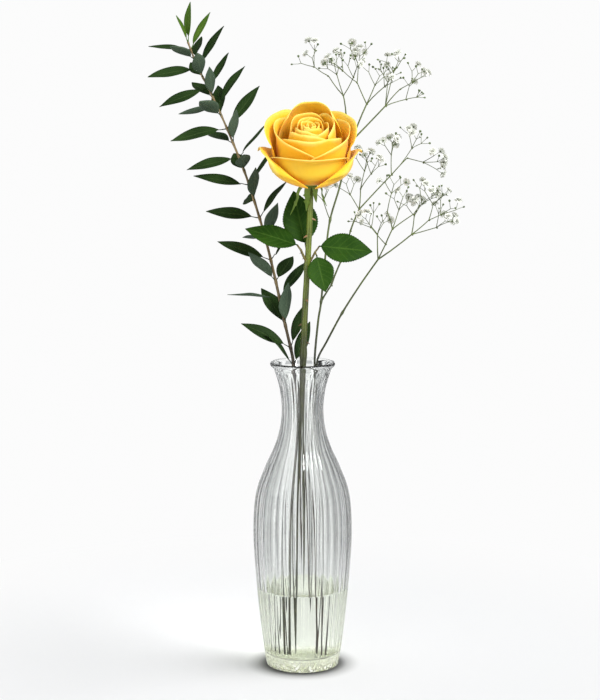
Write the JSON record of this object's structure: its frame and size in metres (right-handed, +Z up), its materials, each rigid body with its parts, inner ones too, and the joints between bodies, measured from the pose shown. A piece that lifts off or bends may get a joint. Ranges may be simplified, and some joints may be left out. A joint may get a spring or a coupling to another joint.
{
  "type": "dressed bud vase",
  "caption": "Fluted clear glass bud vase with a flared lip and a thick foot, holding some water, a rose, a leafy branch and sprays of small white flowers that lift out.",
  "frame": {"origin": "centre of the vase's foot, on the plane it stands on", "axes": "+Z is up along the vase's axis, -Y is the front, +X is to the right seen from the front"},
  "size_m": [0.2418, 0.1191, 0.5135],
  "materials": {
    "clear_glass": "polished, pressed in one piece with upright flutes",
    "water": "still, clear water",
    "petal": "soft satin, golden yellow, deeper orange in the folds",
    "rose_stem": "smooth green rind",
    "sepal": "downy pale green",
    "prickle": "horny, reddish brown",
    "leaf_stalk": "reddish green rind",
    "rose_leaf": "dark green, slightly glossy, toothed edge",
    "branch_leaf": "glossy dark green above, grey green below",
    "bark": "thin red brown bark",
    "spray_stem": "smooth olive green",
    "floret": "thin white petals, matt",
    "bud": "olive green calyx with a white tip"
  },
  "bodies": {
    "vase": {"vase_body": "clear_glass", "water": "water"},
    "rose": {"rose_stem": "rose_stem", "rose_hip": "rose_stem", "rose_sepals": "sepal", "rose_prickles": "prickle", "rose_leaf_stalk": "leaf_stalk", "rose_leaflet_1": "rose_leaf", "rose_leaflet_2": "rose_leaf", "rose_leaflet_3": "rose_leaf", "rose_leaflet_4": "rose_leaf", "rose_heart": "petal", "rose_petal_1": "petal", "rose_petal_2": "petal", "rose_petal_3": "petal", "rose_petal_4": "petal", "rose_petal_5": "petal", "rose_petal_6": "petal", "rose_petal_7": "petal", "rose_petal_8": "petal", "rose_petal_9": "petal", "rose_petal_10": "petal", "rose_petal_11": "petal", "rose_petal_12": "petal", "rose_petal_13": "petal", "rose_petal_14": "petal", "rose_petal_15": "petal"},
    "leafy_branch": {"branch_stem": "bark", "branch_leaf_pair_1": "branch_leaf", "branch_leaf_pair_2": "branch_leaf", "branch_leaf_pair_3": "branch_leaf", "branch_leaf_pair_4": "branch_leaf", "branch_leaf_pair_5": "branch_leaf", "branch_leaf_pair_6": "branch_leaf", "branch_leaf_pair_7": "branch_leaf", "branch_leaf_pair_8": "branch_leaf", "branch_leaf_pair_9": "branch_leaf", "branch_leaf_pair_10": "branch_leaf", "branch_leaf_pair_11": "branch_leaf", "branch_leaf_pair_12": "branch_leaf", "branch_leaf_pair_13": "branch_leaf", "branch_leaf_pair_14": "branch_leaf", "branch_leaf_pair_15": "branch_leaf", "branch_leaf_pair_16": "branch_leaf", "branch_leaf_pair_17": "branch_leaf", "branch_leaf_pair_18": "branch_leaf", "branch_leaf_pair_19": "branch_leaf", "branch_leaf_pair_20": "branch_leaf", "branch_leaf_pair_21": "branch_leaf", "branch_leaf_pair_22": "branch_leaf", "branch_leaf_pair_23": "branch_leaf"},
    "tall_spray": {"tall_spray_stem": "spray_stem", "tall_spray_twigs": "spray_stem", "tall_spray_florets": "floret", "tall_spray_buds": "bud"},
    "side_spray": {"side_spray_stem": "spray_stem", "side_spray_twigs": "spray_stem", "side_spray_florets": "floret", "side_spray_buds": "bud"}
  },
  "joints": [
    {"name": "rose_lifts_out", "type": "slide", "parent": "vase", "child": "rose", "axis": [0.0426, -0.0261, 0.9987], "range_m": [0, 0.24]},
    {"name": "leafy_branch_lifts_out", "type": "slide", "parent": "vase", "child": "leafy_branch", "axis": [-0.088, 0.052, 0.9948], "range_m": [0, 0.24]},
    {"name": "tall_spray_lifts_out", "type": "slide", "parent": "vase", "child": "tall_spray", "axis": [-0.0074, 0.0261, 0.9996], "range_m": [0, 0.24]},
    {"name": "side_spray_lifts_out", "type": "slide", "parent": "vase", "child": "side_spray", "axis": [0.1317, 0.0151, 0.9912], "range_m": [0, 0.24]}
  ]
}
